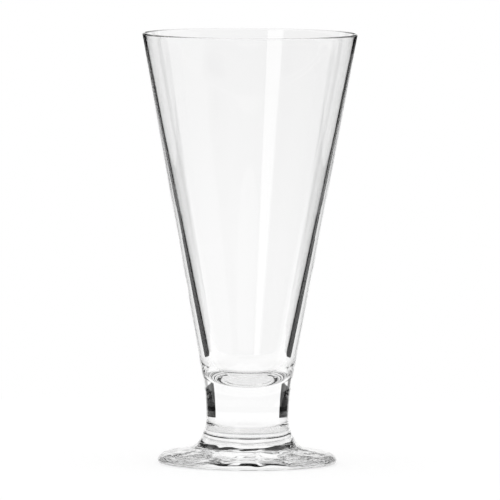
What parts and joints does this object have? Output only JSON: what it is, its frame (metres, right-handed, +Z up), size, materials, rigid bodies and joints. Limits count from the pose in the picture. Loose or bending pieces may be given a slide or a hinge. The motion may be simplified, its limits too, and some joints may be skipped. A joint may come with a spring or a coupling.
{
  "type": "sundae dish",
  "caption": "Tall footed sundae glass: a straight tapering bowl with a thick rounded heel, on a short solid stem that flares into a flat round foot.",
  "frame": {"origin": "on the glass's axis, on the plane of the bearing ring that it stands on", "axes": "+Z up along the axis of the bowl, stem and foot; the part is round, so X and Y are alike"},
  "size_m": [0.09, 0.09, 0.18],
  "materials": {
    "bowl_glass": "clear soda-lime glass, fire-polished",
    "stem_glass": "clear soda-lime glass, fire-polished",
    "foot_glass": "clear soda-lime glass, pressed and fire-polished, worn on the bearing ring"
  },
  "bodies": {
    "root": {"bowl": "bowl_glass", "stem": "stem_glass", "foot": "foot_glass"}
  },
  "joints": []
}
